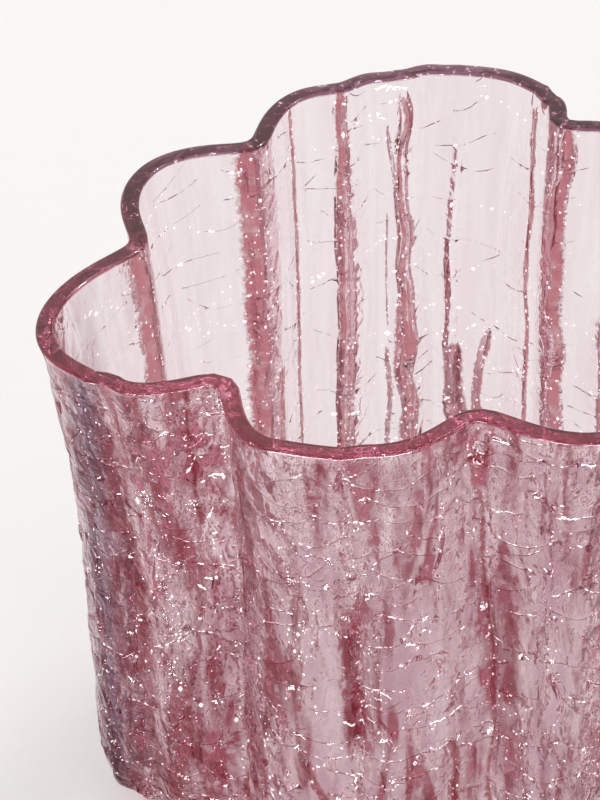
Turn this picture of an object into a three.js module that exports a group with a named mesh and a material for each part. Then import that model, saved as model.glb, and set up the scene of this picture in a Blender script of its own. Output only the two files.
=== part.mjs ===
// Crackle glass vase: one piece of pink glass with a folded wall, in millimetres, +Z up.
// The origin is on the resting plane, at the middle of the vase's bounding box.
import * as THREE from 'three';

// Overall sizes. The rim's radius is to its furthest crown, and the fold depth from there to the deepest fold.
const height = 175;
const rimRadius = 108.5;
const foldDepth = 40;
const wallThickness = 5.4;
const baseThickness = 11;
const rimEdgeRadius = 1.7;

// Foot: a flat lobed ring that the vase rests on, around a shallow hollow
const outerCornerRadius = 21;
const innerCornerRadius = 15;
const footRingWidth = 13;
const footHollowDepth = 1.6;
// The hollow's slope, as shares of the way out to the ring and of the hollow's depth
const hollowSlope = [
  { reach: 0.55, depth: 1 },
  { reach: 0.93, depth: 0.6 },
];

// The wall leans out towards the rim: most at the creases, less at the crowns, least in the folds
const flareHeight = 70;
const flareCurve = 1.5;
const creaseFlare = 9.2;
const crownFlare = 6.8;
const foldFlare = 3.2;
const taperDepth = 1.4;

// Folds and creases are rounded at the bottom: 0 gives sharp ones
const foldRounding = 0.2;
// Folds lose this share of their depth where the wall turns under into the foot
const footSoftening = 0.35;
// Folds wander sideways on their way down, by this many degrees at most
const foldWander = 0.9;
const foldWanderPhase = 2.4;

// A narrow groove is pinched into the outside along each fold, and a shallower one along each crease.
// It runs out just under the rim, and again where the wall turns under into the foot.
const grooveHalfWidth = 2.6;
const foldGroove = 2.4;
const creaseGroove = 1.9;

// Lobes in order, anticlockwise from above. Each has the fold before it, then its crown.
// Angles are in degrees, and drift is how far the fold has moved round by the foot.
// fold and crown are how far in they lie at the rim, as shares of the fold depth.
// A crease is a shallow fold that fades out at the rim.
const lobes = [
  { foldAngle: 47, fold: 0.54, crownAngle: 53.5, crown: 0.33, drift: -1 },
  { foldAngle: 56, fold: 0.25, crownAngle: 65, crown: 0.18, drift: -1, crease: true },
  { foldAngle: 73, fold: 0.21, crownAngle: 77.5, crown: 0.24, drift: 0, crease: true },
  { foldAngle: 83.5, fold: 0.34, crownAngle: 88, crown: 0.38, drift: -1, crease: true },
  { foldAngle: 95.7, fold: 0.50, crownAngle: 100, crown: 0.51, drift: 1, crease: true },
  { foldAngle: 122, fold: 1.00, crownAngle: 146, crown: 0.67, drift: 2 },
  { foldAngle: 173, fold: 0.94, crownAngle: 205, crown: 0.16, drift: -1 },
  { foldAngle: 215, fold: 0.24, crownAngle: 218.5, crown: 0.33, drift: -1, crease: true },
  { foldAngle: 233, fold: 0.81, crownAngle: 250, crown: 0.34, drift: -0.5 },
  { foldAngle: 262, fold: 0.33, crownAngle: 267, crown: 0.37, drift: 1, crease: true },
  { foldAngle: 286, fold: 0.63, crownAngle: 305, crown: 0.00, drift: 4.5 },
  { foldAngle: 315, fold: 0.10, crownAngle: 319, crown: 0.21, drift: 1, crease: true },
  { foldAngle: 332, fold: 0.64, crownAngle: 347, crown: 0.14, drift: -2 },
  { foldAngle: 356, fold: 0.24, crownAngle: 359.5, crown: 0.33, drift: -1, crease: true },
  { foldAngle: 10.5, fold: 0.69, crownAngle: 26, crown: 0.21, drift: 2 },
  { foldAngle: 34, fold: 0.27, crownAngle: 37.5, crown: 0.34, drift: 1, crease: true },
];

// Vertices round the outline: greatest spacing, and how strongly they gather at the folds
const facetLength = 7.6;
const foldGathering = 1.3;

// Rings of vertices along each stretch of the profile. The wall's gather in the flare.
const wallRings = 11;
const flareGathering = 0.3;
const cornerRings = 5;
const edgeRings = 3;

const radians = THREE.MathUtils.degToRad;

// Angle from one direction to another, going anticlockwise, or the shorter way round
const fullTurn = 360;
function turnBetween(from, to) {
  return THREE.MathUtils.euclideanModulo(to - from, fullTurn);
}
function shorterTurn(from, to) {
  return turnBetween(from, to + fullTurn / 2) - fullTurn / 2;
}

// Share of the way from a fold to a crown: steep at the fold, level at the crown
function swell(share) {
  const sine = Math.sin(share * Math.PI / 2);
  const rounded = Math.hypot(sine, foldRounding) - foldRounding;
  return rounded / (Math.hypot(1, foldRounding) - foldRounding);
}

// How far the lean of the wall has run its course at a depth below the rim, 0 to 1
function leanAt(depth) {
  const share = Math.min(depth / flareHeight, 1);
  return 1 - (1 - share) ** flareCurve;
}

// Direction of a lobe's fold at a depth below the rim
function foldDirection(index, depth) {
  const lobe = lobes[index % lobes.length];
  const share = depth / height;
  const phase = foldWanderPhase * (index % lobes.length);
  const wander = foldWander * Math.sin(2 * Math.PI * share + phase) * share;
  return lobe.foldAngle + lobe.drift * share + wander;
}

// Shares of the way up a flank: the fold, the groove's edge, and evenly on towards the crown
function flankShares(flankLength) {
  const edge = grooveHalfWidth / flankLength;
  const steps = Math.max(1, Math.round((flankLength - grooveHalfWidth) / facetLength));
  const shares = [0];
  for (let step = 0; step < steps; step += 1) {
    shares.push(THREE.MathUtils.lerp(edge, 1, (step / steps) ** foldGathering));
  }
  return shares;
}

// Stations round the outline: which fold each lies at or after, which crown it rises to and how far it is
function makeStations() {
  const stations = [];
  lobes.forEach((lobe, index) => {
    const next = lobes[(index + 1) % lobes.length];
    const rising = {
      fold: index,
      crown: index,
      turn: turnBetween(lobe.foldAngle, lobe.crownAngle),
      rise: foldDepth * (lobe.fold - lobe.crown),
    };
    const falling = {
      fold: index + 1,
      crown: index,
      turn: turnBetween(lobe.crownAngle, next.foldAngle),
      rise: foldDepth * (next.fold - lobe.crown),
    };
    for (const flank of [rising, falling]) {
      const flankLength = Math.hypot(radians(flank.turn) * rimRadius, flank.rise);
      const upwards = flankShares(flankLength);
      const shares = flank === rising ? upwards : [1, ...upwards.slice(1).reverse()];
      shares.forEach((share) => stations.push({ fold: flank.fold, crown: flank.crown, share }));
    }
  });
  return stations;
}

const stations = makeStations();

// Outside outline of the wall at a height, as plan points. softening flattens the folds.
function outlineAt(z, softening = 0) {
  const depth = height - z;
  const lean = leanAt(depth);
  const reach = rimRadius - taperDepth * depth / height;
  return stations.map(({ fold, crown, share }) => {
    const foldLobe = lobes[fold % lobes.length];
    const crownLobe = lobes[crown];
    const crownRadius = reach - foldDepth * crownLobe.crown - crownFlare * lean;
    const flare = foldLobe.crease ? creaseFlare : foldFlare;
    const leaningFold = reach - foldDepth * foldLobe.fold - flare * lean;
    const foldRadius = THREE.MathUtils.lerp(leaningFold, crownRadius, softening);
    const foldAngle = foldDirection(fold, depth);
    const angle = radians(foldAngle + shorterTurn(foldAngle, crownLobe.crownAngle) * share);
    const radius = THREE.MathUtils.lerp(foldRadius, crownRadius, swell(share));
    return new THREE.Vector2(radius * Math.cos(angle), radius * Math.sin(angle));
  });
}

// Outside outline with the grooves pinched in, to a share of their depth
function groovedOutline(z, grooveShare, softening = 0) {
  return outlineAt(z, softening).map((point, index) => {
    const { fold, share } = stations[index];
    const groove = lobes[fold % lobes.length].crease ? creaseGroove : foldGroove;
    const pinch = share === 0 ? groove * grooveShare : 0;
    return point.setLength(point.length() - pinch);
  });
}

// The outline moved in by a distance, square to itself
function insetOutline(outline, distance) {
  const count = outline.length;
  return outline.map((point, index) => {
    const before = outline[(index + count - 1) % count];
    const after = outline[(index + 1) % count];
    const along = after.clone().sub(before).normalize();
    return new THREE.Vector2(point.x - along.y * distance, point.y + along.x * distance);
  });
}

// The outline drawn in towards the axis by a distance
function shrinkOutline(outline, distance) {
  return outline.map((point) => point.clone().setLength(point.length() - distance));
}

// The outline scaled towards the axis
function scaleOutline(outline, factor) {
  return outline.map((point) => point.clone().multiplyScalar(factor));
}

// A ring of vertices: a plan outline at one height
function ring(outline, z) {
  return outline.map((point) => new THREE.Vector3(point.x, point.y, z));
}

// Underside: the hollow's slope, then the flat ring's two edges
function footRings() {
  const footEdge = shrinkOutline(outlineAt(0, footSoftening), outerCornerRadius);
  const hollowEdge = shrinkOutline(footEdge, footRingWidth);
  return [
    ...hollowSlope.map(({ reach, depth }) => ring(scaleOutline(hollowEdge, reach), footHollowDepth * depth)),
    ring(hollowEdge, 0),
    ring(footEdge, 0),
  ];
}

// Quarter turn from the foot up into the wall, with the folds deepening on the way
function outerCornerRings() {
  const rings = [];
  for (let step = 1; step <= cornerRings; step += 1) {
    const angle = step / cornerRings * Math.PI / 2;
    const z = outerCornerRadius * (1 - Math.cos(angle));
    const drawnIn = outerCornerRadius * (1 - Math.sin(angle));
    const turned = step / cornerRings;
    const softening = footSoftening * (1 - turned);
    rings.push(ring(shrinkOutline(groovedOutline(z, turned, softening), drawnIn), z));
  }
  return rings;
}

// Heights of the rings between the corner and the rim's edge
function wallHeights(bottom, top) {
  const heights = [];
  for (let step = 1; step <= wallRings; step += 1) {
    const share = step / wallRings;
    heights.push(THREE.MathUtils.lerp(bottom, top, share * (1 + flareGathering * (1 - share))));
  }
  return heights;
}

function outerWallRings() {
  const top = height - rimEdgeRadius;
  return wallHeights(outerCornerRadius, top).map((z) => ring(groovedOutline(z, z < top ? 1 : 0), z));
}

// The rim: a level polished band with both edges rounded
function rimRings() {
  const rings = [];
  const rimOutline = outlineAt(height);
  for (let step = 1; step <= edgeRings; step += 1) {
    const angle = step / edgeRings * Math.PI / 2;
    const z = height - rimEdgeRadius * (1 - Math.sin(angle));
    rings.push(ring(insetOutline(rimOutline, rimEdgeRadius * (1 - Math.cos(angle))), z));
  }
  for (let step = 0; step < edgeRings; step += 1) {
    const angle = step / edgeRings * Math.PI / 2;
    const z = height - rimEdgeRadius * (1 - Math.cos(angle));
    const distance = wallThickness - rimEdgeRadius * (1 - Math.sin(angle));
    rings.push(ring(insetOutline(rimOutline, distance), z));
  }
  return rings;
}

// Inside of the wall, from the rim down to the inside corner
function innerWallRings() {
  const bottom = baseThickness + innerCornerRadius;
  const top = height - rimEdgeRadius;
  const heights = [bottom, ...wallHeights(bottom, top)].reverse();
  return heights.map((z) => ring(insetOutline(outlineAt(z), wallThickness), z));
}

// Inside corner, down to the edge of the level floor
function innerCornerRings() {
  const rings = [];
  for (let step = 1; step <= cornerRings; step += 1) {
    const angle = step / cornerRings * Math.PI / 2;
    const z = baseThickness + innerCornerRadius * (1 - Math.sin(angle));
    const drawnIn = innerCornerRadius * (1 - Math.cos(angle));
    const softening = footSoftening * step / cornerRings;
    const outline = insetOutline(outlineAt(z, softening), wallThickness);
    rings.push(ring(shrinkOutline(outline, drawnIn), z));
  }
  return rings;
}

// Closed surface through a stack of rings, with a point at each end on the axis
function skinRings(rings, startZ, endZ) {
  const count = stations.length;
  const points = [new THREE.Vector3(0, 0, startZ), ...rings.flat(), new THREE.Vector3(0, 0, endZ)];
  const last = points.length - 1;
  const indices = [];
  for (let side = 0; side < count; side += 1) {
    const next = (side + 1) % count;
    indices.push(0, 1 + next, 1 + side);
    for (let level = 0; level < rings.length - 1; level += 1) {
      const lower = 1 + level * count;
      const upper = lower + count;
      indices.push(lower + side, lower + next, upper + next);
      indices.push(lower + side, upper + next, upper + side);
    }
    const top = 1 + (rings.length - 1) * count;
    indices.push(top + side, top + next, last);
  }
  const geometry = new THREE.BufferGeometry().setFromPoints(points);
  geometry.setIndex(indices);
  return geometry;
}

function makeGlassBody() {
  const rings = [
    ...footRings(),
    ...outerCornerRings(),
    ...outerWallRings(),
    ...rimRings(),
    ...innerWallRings(),
    ...innerCornerRings(),
  ];
  const geometry = skinRings(rings, footHollowDepth, baseThickness);
  geometry.computeBoundingBox();
  const middle = geometry.boundingBox.getCenter(new THREE.Vector3());
  geometry.translate(-middle.x, -middle.y, 0);
  geometry.computeVertexNormals();
  const pinkGlass = new THREE.MeshStandardMaterial({
    color: 0xd98a9c,
    roughness: 0.05,
    metalness: 0,
    transparent: true,
    opacity: 0.45,
    side: THREE.DoubleSide,
  });
  const body = new THREE.Mesh(geometry, pinkGlass);
  body.name = 'glass_body';
  return body;
}

const vase = new THREE.Group();
vase.name = 'crackle_glass_vase';
vase.add(makeGlassBody());

export default vase;
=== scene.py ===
# Crackle glass vase: one piece of pink glass with a folded wall, a polished rim and a crackled outside.
import math

import bpy
import numpy as np
from mathutils import Matrix, Vector
from mathutils.geometry import delaunay_2d_cdt
from mathutils.kdtree import KDTree


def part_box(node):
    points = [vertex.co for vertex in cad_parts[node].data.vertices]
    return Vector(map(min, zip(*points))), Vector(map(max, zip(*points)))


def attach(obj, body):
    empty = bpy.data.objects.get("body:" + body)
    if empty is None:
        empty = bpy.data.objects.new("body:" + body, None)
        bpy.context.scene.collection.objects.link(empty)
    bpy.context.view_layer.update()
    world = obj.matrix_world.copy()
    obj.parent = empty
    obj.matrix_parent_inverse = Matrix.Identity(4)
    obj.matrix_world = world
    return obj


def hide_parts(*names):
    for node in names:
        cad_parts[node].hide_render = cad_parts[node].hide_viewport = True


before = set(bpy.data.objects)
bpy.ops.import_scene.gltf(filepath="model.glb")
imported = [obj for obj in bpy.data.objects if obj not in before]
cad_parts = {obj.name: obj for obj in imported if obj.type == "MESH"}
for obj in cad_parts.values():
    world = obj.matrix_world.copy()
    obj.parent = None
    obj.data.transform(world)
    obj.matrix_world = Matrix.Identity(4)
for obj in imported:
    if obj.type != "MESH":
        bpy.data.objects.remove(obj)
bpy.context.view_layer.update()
body_low, body_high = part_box("glass_body")

METRES = 0.001
rng = np.random.default_rng(7)

# Sizes of the glass in millimetres, as the solid has them
HEIGHT = (body_high.z - body_low.z) / METRES
RIM_RADIUS = 108.5
FOLD_DEPTH = 40.0
WALL = 5.4
BASE = 11.0
RIM_EDGE = 0.9
OUTER_CORNER = 21.0
INNER_CORNER = 15.0
FOOT_RING = 13.0
FOOT_HOLLOW = 1.6
FLARE_HEIGHT = 70.0
FLARE_CURVE = 1.5
CREASE_FLARE = 9.2
CROWN_FLARE = 6.8
FOLD_FLARE = 3.2
TAPER = 1.4
FOLD_ROUNDING = 0.2
FOOT_SOFTENING = 0.35
WANDER = 0.9
WANDER_PHASE = 2.4
# The glass skin lies this far inside the solid's crowns, so that it stays in the solid's box
SKIN = 0.55

# Fold angle, how far in the fold lies, crown angle, how far in the crown lies, drift of the fold,
# and 1 for a crease
LOBES = np.array([
    (47, 0.54, 53.5, 0.33, -1, 0),
    (56, 0.25, 65, 0.18, -1, 1),
    (73, 0.21, 77.5, 0.24, 0, 1),
    (83.5, 0.34, 88, 0.38, -1, 1),
    (95.7, 0.50, 100, 0.51, 1, 1),
    (122, 1.00, 146, 0.67, 2, 0),
    (173, 0.94, 205, 0.16, -1, 0),
    (215, 0.24, 218.5, 0.33, -1, 1),
    (233, 0.81, 250, 0.34, -0.5, 0),
    (262, 0.33, 267, 0.37, 1, 1),
    (286, 0.63, 305, 0.00, 4.5, 0),
    (315, 0.10, 319, 0.21, 1, 1),
    (332, 0.64, 347, 0.14, -2, 0),
    (356, 0.24, 359.5, 0.33, -1, 1),
    (10.5, 0.69, 26, 0.21, 2, 0),
    (34, 0.27, 37.5, 0.34, 1, 1),
])
FOLD_ANGLE, FOLD_IN, CROWN_ANGLE, CROWN_IN, DRIFT, CREASE = LOBES.T
LOBE_COUNT = len(LOBES)
# The unrolled wall is cut open along this fold, on the vase's right
SEAM_LOBE = 14


# The folded wall

def swell(share):
    """Share of the way from a fold to a crown: steep at the fold, level at the crown."""
    rounded = np.hypot(np.sin(share * math.pi / 2), FOLD_ROUNDING) - FOLD_ROUNDING
    return rounded / (math.hypot(1, FOLD_ROUNDING) - FOLD_ROUNDING)


def fold_direction(index, depth):
    share = depth / HEIGHT
    wander = WANDER * np.sin(2 * math.pi * share + WANDER_PHASE * index) * share
    lobe = index % LOBE_COUNT
    return FOLD_ANGLE[lobe] + DRIFT[lobe] * share + wander


def wall_outline(place, z, softening=0.0):
    """Radius and angle of the outside of the wall.

    place counts lobes: whole at a fold, a half at a crown.
    """
    half = np.floor(place * 2).astype(int)
    within = place * 2 - half
    crown = (half // 2) % LOBE_COUNT
    rising = half % 2 == 0
    fold = np.where(rising, half // 2, half // 2 + 1)
    lobe = fold % LOBE_COUNT
    share = np.where(rising, within, 1 - within)
    depth = HEIGHT - z
    lean = 1 - (1 - np.clip(depth / FLARE_HEIGHT, 0, 1)) ** FLARE_CURVE
    reach = RIM_RADIUS - TAPER * depth / HEIGHT
    crown_radius = reach - FOLD_DEPTH * CROWN_IN[crown] - CROWN_FLARE * lean
    flare = np.where(CREASE[lobe] > 0, CREASE_FLARE, FOLD_FLARE)
    fold_radius = reach - FOLD_DEPTH * FOLD_IN[lobe] - flare * lean
    fold_radius = fold_radius + (crown_radius - fold_radius) * softening
    fold_angle = fold_direction(fold % LOBE_COUNT, depth)
    turn = (CROWN_ANGLE[crown] - fold_angle + 180) % 360 - 180
    angle = np.radians(fold_angle + turn * share)
    radius = fold_radius + (crown_radius - fold_radius) * swell(share)
    return radius, angle


# Distance round the wall at half height, from the seam, against the place round it
PLACES = SEAM_LOBE + np.linspace(0, LOBE_COUNT, LOBE_COUNT * 400 + 1)
_radius, _angle = wall_outline(PLACES, HEIGHT / 2)
_steps = np.hypot(np.diff(_radius * np.cos(_angle)), np.diff(_radius * np.sin(_angle)))
ROUND = np.concatenate([[0.0], np.cumsum(_steps)])
GIRTH = ROUND[-1]
FOLD_ROUND = np.interp(SEAM_LOBE + np.arange(LOBE_COUNT), PLACES, ROUND)
CORNER_LENGTH = OUTER_CORNER * math.pi / 2
RISE = CORNER_LENGTH + HEIGHT - RIM_EDGE - OUTER_CORNER


def outer_point(along, up):
    """Point of the smooth outside: along is the distance round, up the distance from the foot's edge."""
    turn = np.clip(up / CORNER_LENGTH, 0, 1) * math.pi / 2
    z = np.where(up < CORNER_LENGTH, OUTER_CORNER * (1 - np.cos(turn)), up - CORNER_LENGTH + OUTER_CORNER)
    drawn_in = OUTER_CORNER * (1 - np.sin(turn)) + SKIN
    softening = FOOT_SOFTENING * (1 - turn / (math.pi / 2))
    radius, angle = wall_outline(np.interp(along, ROUND, PLACES), z, softening)
    radius = radius - drawn_in
    return np.stack([radius * np.cos(angle), radius * np.sin(angle), z], axis=-1)


def outer_normal(along, up):
    step = 0.25
    after, before = np.clip(along + step, 0, GIRTH), np.clip(along - step, 0, GIRTH)
    across = outer_point(after, up) - outer_point(before, up)
    rise = outer_point(along, up + step) - outer_point(along, np.maximum(up - step, 0))
    normal = np.cross(across, rise)
    return normal / np.linalg.norm(normal, axis=-1, keepdims=True)


def smooth_step(value):
    value = np.clip(value, 0, 1)
    return value * value * (3 - 2 * value)


def ripple(along, up, seed, length, count=7):
    """Smooth uneven field about -1 to 1, periodic round the wall, with waves of about that length."""
    waves = np.random.default_rng(seed)
    total = np.zeros(np.broadcast(along, up).shape)
    for _ in range(count):
        turns = round(GIRTH / length * waves.uniform(0.5, 1.3))
        rise = waves.uniform(-1.1, 1.1) * 2 * math.pi / length
        total = total + np.sin(2 * math.pi * turns * along / GIRTH + rise * up + waves.uniform(0, 6.3))
    return total / math.sqrt(count)


# The near wall lies between these distances round from the seam
NEAR_WALL_START = 262
NEAR_WALL_END = 585


# Grooves that run down the outside: at the folds, along the creases, and slimmer ones between them

class Groove:
    """A groove down the wall.

    path gives pairs of height and distance round, from the top down. depth and half_width are the groove's,
    band is half the width of the painted deep rose shade about it, and the argument after band says how deep
    that painted shade is, from -1 for none to 1.
    breaks says how often the groove fades out on its way.
    """

    def __init__(self, seed, path, half_width, depth, band, fold_shade, wobble=0.4, breaks=0.0):
        heights, rounds = zip(*path[::-1])
        self.seed = seed
        self.heights = heights
        self.rounds = rounds
        self.bottom = heights[0]
        self.top = heights[-1]
        self.half_width = half_width
        self.depth = depth
        self.band = band
        self.fold_shade = fold_shade
        self.wobble = wobble
        self.breaks = breaks

    def along(self, up):
        drawn = np.interp(up, self.heights, self.rounds)
        return drawn + self.wobble * ripple(np.zeros_like(up), up, self.seed, 22, 5)

    def presence(self, up):
        """1 along the groove, running out to 0 at both ends."""
        return smooth_step((self.top + 3 - up) / 7) * smooth_step((up - self.bottom + 3) / 9)

    def depth_at(self, up):
        waves = ripple(np.zeros_like(up), up, self.seed + 50, 18, 5)
        unevenness = np.clip(1 - self.breaks + (0.3 + 0.6 * self.breaks) * waves, 0.0, 1.4)
        rim = smooth_step((RISE - 1.2 - up) / 5)
        return self.depth * unevenness * self.presence(up) * rim

    def width_at(self, up):
        return 0.35 + 0.65 * self.presence(up)


def down_fold(lobe, top=RISE, bottom=4.0, bend=0.0):
    """Path down a lobe's fold, as the solid has it. bend is how far it strays at half height."""
    fold = FOLD_ROUND[(lobe - SEAM_LOBE) % LOBE_COUNT]
    middle = (top + bottom) / 2
    return [(top, fold), (middle, fold + bend), (bottom, fold)]


GROOVES = [
    # The folds and creases, which the solid has too
    Groove(1, down_fold(6), 2.6, 2.8, 4.6, 0.95),
    Groove(3, down_fold(5), 2.4, 2.6, 4.4, 1.0),
    Groove(6, down_fold(4), 2.0, 1.6, 1.4, 0.95, 0.3),
    Groove(8, down_fold(3, 181), 2.0, 1.9, 0.9, 0.85, 0.7),
    Groove(18, [(112, 124.6), (70, 124.2), (6, 124)], 1.2, 1.4, 2.5, 0.95, 0.9),
    Groove(12, down_fold(2, 178), 2.0, 1.1, 0.4, -0.6, 0.5),
    Groove(14, down_fold(1, 182, 4, -0.8), 1.9, 1.9, 0.8, 0.95, 0.4),
    Groove(15, down_fold(0), 2.4, 2.4, 2.3, 0.95, 0.5),
    Groove(16, down_fold(15, 181), 1.9, 1.8, 1.0, 0.7, 0.4),
    Groove(21, down_fold(8, RISE, 4, 1.2), 2.5, 2.4, 1.4, 0.5, 0.8),
    Groove(24, down_fold(9, 182, 4, 1.0), 2.0, 1.9, 0.8, 0.15, 0.9),
    Groove(26, down_fold(10, RISE, 4, 1.2), 2.5, 2.4, 1.3, 0.35, 0.9),
    Groove(31, down_fold(11, 182), 2.0, 1.9, 0.9, 0.35, 0.8),
    Groove(32, down_fold(12), 2.4, 2.4, 2.0, 0.8),
    Groove(33, down_fold(13, 182), 1.9, 1.8, 0.9, 0.5),
    Groove(35, down_fold(7, 182, 4, -1.0), 2.0, 1.9, 0.9, 0.3, 0.9),
    # Slimmer ones on the far wall
    Groove(2, [(168, 234.5), (140, 237.5), (110, 241), (8, 242)], 1.2, 1.6, 2.6, 0.8),
    Groove(4, [(104, 178.5), (92, 180.5), (60, 181.5), (30, 181.5)], 1.0, 1.4, 2.2, 0.9),
    Groove(5, [(RISE, 164), (140, 164.5), (100, 165.5), (60, 166)], 0.75, 1.0, 1.1, 0.9, 0.2),
    Groove(7, [(169, 128.5), (151, 126.6), (146, 124.6), (140, 124.1)], 0.7, 1.3, 0.9, 0.8, 0.5),
    Groove(9, [(140, 129.2), (114, 129.6), (100, 129.0)], 0.4, 0.7, 0.45, 0.35, 0.3),
    Groove(10, [(92, 129.0), (63, 129.5), (40, 129.5)], 0.8, 1.2, 1.1, 0.8, 0.4),
    Groove(11, [(92, 106.4), (70, 106.0), (50, 107), (6, 107)], 2.0, 1.9, 2.9, 0.95, 0.6),
    Groove(13, [(97, 93.5), (82, 98.0), (68, 98.8), (50, 99.9), (10, 100)], 1.1, 1.5, 2.3, 0.9, 0.5),
    # Slimmer ones on the near wall, broken and in loose bundles
    Groove(22, [(180, 347), (140, 349), (90, 351), (6, 352)], 0.7, 1.2, 0.5, 0.0, 1.4, 0.9),
    Groove(23, [(150, 369), (100, 374), (50, 381), (6, 383)], 1.1, 1.4, 1.8, 0.1, 1.2, 0.8),
    Groove(25, [(120, 410), (80, 413), (6, 414)], 0.7, 1.2, 1.6, 0.1, 1.2, 0.8),
    Groove(27, [(178, 436), (150, 432), (110, 427), (60, 426)], 0.7, 1.2, 0.5, 0.0, 1.5, 0.9),
    Groove(
        28, [(178, 460), (151, 462.5), (113, 464.5), (83, 465.5), (6, 466)],
        0.9, 1.6, 0.6, 0.1, 1.1, 0.7,
    ),
    Groove(29, [(90, 453), (60, 456), (6, 457)], 0.9, 1.4, 1.8, 0.2, 1.1, 0.7),
    Groove(30, [(110, 480), (60, 481), (6, 482)], 0.8, 1.3, 1.4, 0.15, 1.1, 0.8),
    Groove(34, [(172, 318), (128, 312.5), (98, 311), (6, 312)], 1.3, 1.6, 1.8, 0.25, 1.0, 0.7),
    Groove(36, [(182, 297), (140, 295), (6, 295)], 0.9, 1.4, 1.4, 0.3, 1.0, 0.7),
    Groove(37, [(150, 335), (90, 337), (30, 338)], 1.4, 1.1, 4.2, 0.2, 1.2, 0.8),
    Groove(38, [(70, 391), (40, 394), (6, 395)], 1.0, 1.5, 2.2, 0.8, 1.5, 0.5),
    Groove(39, [(75, 432), (40, 435), (6, 436)], 1.0, 1.5, 2.2, 0.7, 1.5, 0.5),
    Groove(40, [(160, 387), (120, 391), (90, 389)], 1.0, 1.1, 2.8, 0.15, 1.2, 0.8),
]


def crease_depth(along, up):
    total = np.zeros_like(along)
    for groove in GROOVES:
        distance = np.abs(along - groove.along(up))
        half_width = groove.half_width * groove.width_at(up)
        near = distance < half_width
        if near.any():
            share = 1 - distance[near] / half_width[near]
            total[near] = np.maximum(total[near], groove.depth_at(up[near]) * share)
    return total


def fold_shade_depth(along, up):
    """Where the deep rose shade is painted at the folds: 1 in the middle of a band, one half at its edge."""
    total = np.zeros_like(along)
    for groove in GROOVES:
        distance = np.abs(along - groove.along(up))
        band = groove.band * groove.width_at(up)
        share = np.clip(1 - 0.5 * distance / band, 0, 1)
        total = np.maximum(total, share * groove.presence(up) * (0.5 + 0.5 * groove.fold_shade))
    return total


def ruffle(along, up):
    """Where the glass is finely pleated: about the folds, and over the whole of the near wall a little."""
    total = np.zeros_like(along)
    for groove in GROOVES:
        distance = np.abs(along - groove.along(up))
        reach = 3 + 3.2 * groove.half_width
        total = np.maximum(total, np.exp(-((distance / reach) ** 2)) * groove.presence(up))
    return np.clip(total * (0.25 + 0.75 * nearness(along)) + 0.25 * nearness(along), 0, 1)


def nearness(along):
    """1 round the boldly crackled near wall, 0 round the quiet far wall."""
    rise = smooth_step((along - NEAR_WALL_START) / 22)
    fall = smooth_step((NEAR_WALL_END - along) / 30)
    return rise * fall


# Crackle: a network of fine cracks between panes wider than they are high

PANE_WIDTH = 19.0
PANE_HEIGHT = 8.0
CRACK_HALF_WIDTH = 0.15
CRACK_DEPTH = (0.4, 1.3)
FAR_CRACK_DEPTH = 0.3
CRACK_STEP = 1.4
EDGE_MARGIN = 0.9
PANE_JITTER = 0.42
# Upright cracks, and cracks on the far wall, are more often left out
HEALED_LEVEL = 0.1
HEALED_UPRIGHT = 0.7
HEALED_FAR = 0.35


def pane_centres():
    """Centres of the panes: a loose brickwork."""
    columns = round(GIRTH / PANE_WIDTH)
    rows = round(RISE / PANE_HEIGHT) + 2
    column, row = np.meshgrid(np.arange(columns), np.arange(rows))
    jitter = rng.uniform(-PANE_JITTER, PANE_JITTER, (2,) + column.shape)
    along = (column + 0.5 * (row % 2) + 0.25 + jitter[0]) * GIRTH / columns
    up = (row - 0.5 + jitter[1]) * RISE / (rows - 2)
    return np.stack([along.ravel() % GIRTH, up.ravel()], axis=-1)


def crack_lines(centres):
    """Edges between neighbouring panes: pairs of ends with the two panes that each one parts."""
    squeeze = np.array([PANE_HEIGHT / PANE_WIDTH, 1.0])
    copies = np.concatenate([centres + [shift * GIRTH, 0] for shift in (-1, 0, 1)])
    owner = np.tile(np.arange(len(centres)), 3)
    flat = copies * squeeze
    result = delaunay_2d_cdt([Vector(point) for point in flat], [], [], 0, 1e-6)
    points = np.array([tuple(vertex) for vertex in result[0]])
    originals = [group[0] if group else -1 for group in result[3]]
    middles = []
    sides = {}
    for number, triangle in enumerate(result[2]):
        a, b, c = (points[corner] for corner in triangle)
        twice = 2 * ((b[0] - a[0]) * (c[1] - a[1]) - (b[1] - a[1]) * (c[0] - a[0]))
        if abs(twice) < 1e-9:
            middles.append(a)
            continue
        ab, ac = ((b - a) ** 2).sum(), ((c - a) ** 2).sum()
        offset = np.array([(c[1] - a[1]) * ab - (b[1] - a[1]) * ac, (b[0] - a[0]) * ac - (c[0] - a[0]) * ab])
        middles.append(a + offset / twice)
        for first, second in ((0, 1), (1, 2), (2, 0)):
            key = tuple(sorted((triangle[first], triangle[second])))
            sides.setdefault(key, []).append(number)
    lines = []
    for (first, second), triangles in sides.items():
        if len(triangles) != 2:
            continue
        start = middles[triangles[0]] / squeeze
        end = middles[triangles[1]] / squeeze
        middle = (start + end) / 2
        length = np.linalg.norm(end - start)
        inside = 0 <= middle[0] < GIRTH and -4 < middle[1] < RISE + 4 and 0.3 < length < 60
        if inside:
            lines.append((start, end, owner[originals[first]], owner[originals[second]]))
    return lines


def warp(points):
    """Bends the whole network gently, the same on both sides of the seam."""
    along, up = points[:, 0], points[:, 1]
    return points + np.stack([1.5 * ripple(along, up, 31, 45), 1.6 * ripple(along, up, 32, 50)], axis=-1)


def clear_runs(points):
    """The stretches of a line that stay on the wall, clear of its ends and of the seam."""
    along, up = points[:, 0], points[:, 1]
    kept = (along > 1) & (along < GIRTH - 1) & (up > 3) & (up < RISE - EDGE_MARGIN)
    runs = []
    run = []
    for point, keep in zip(points, kept):
        if keep:
            run.append(point)
        elif len(run) > 1:
            runs.append(np.array(run))
            run = []
        else:
            run = []
    if len(run) > 1:
        runs.append(np.array(run))
    return runs


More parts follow.
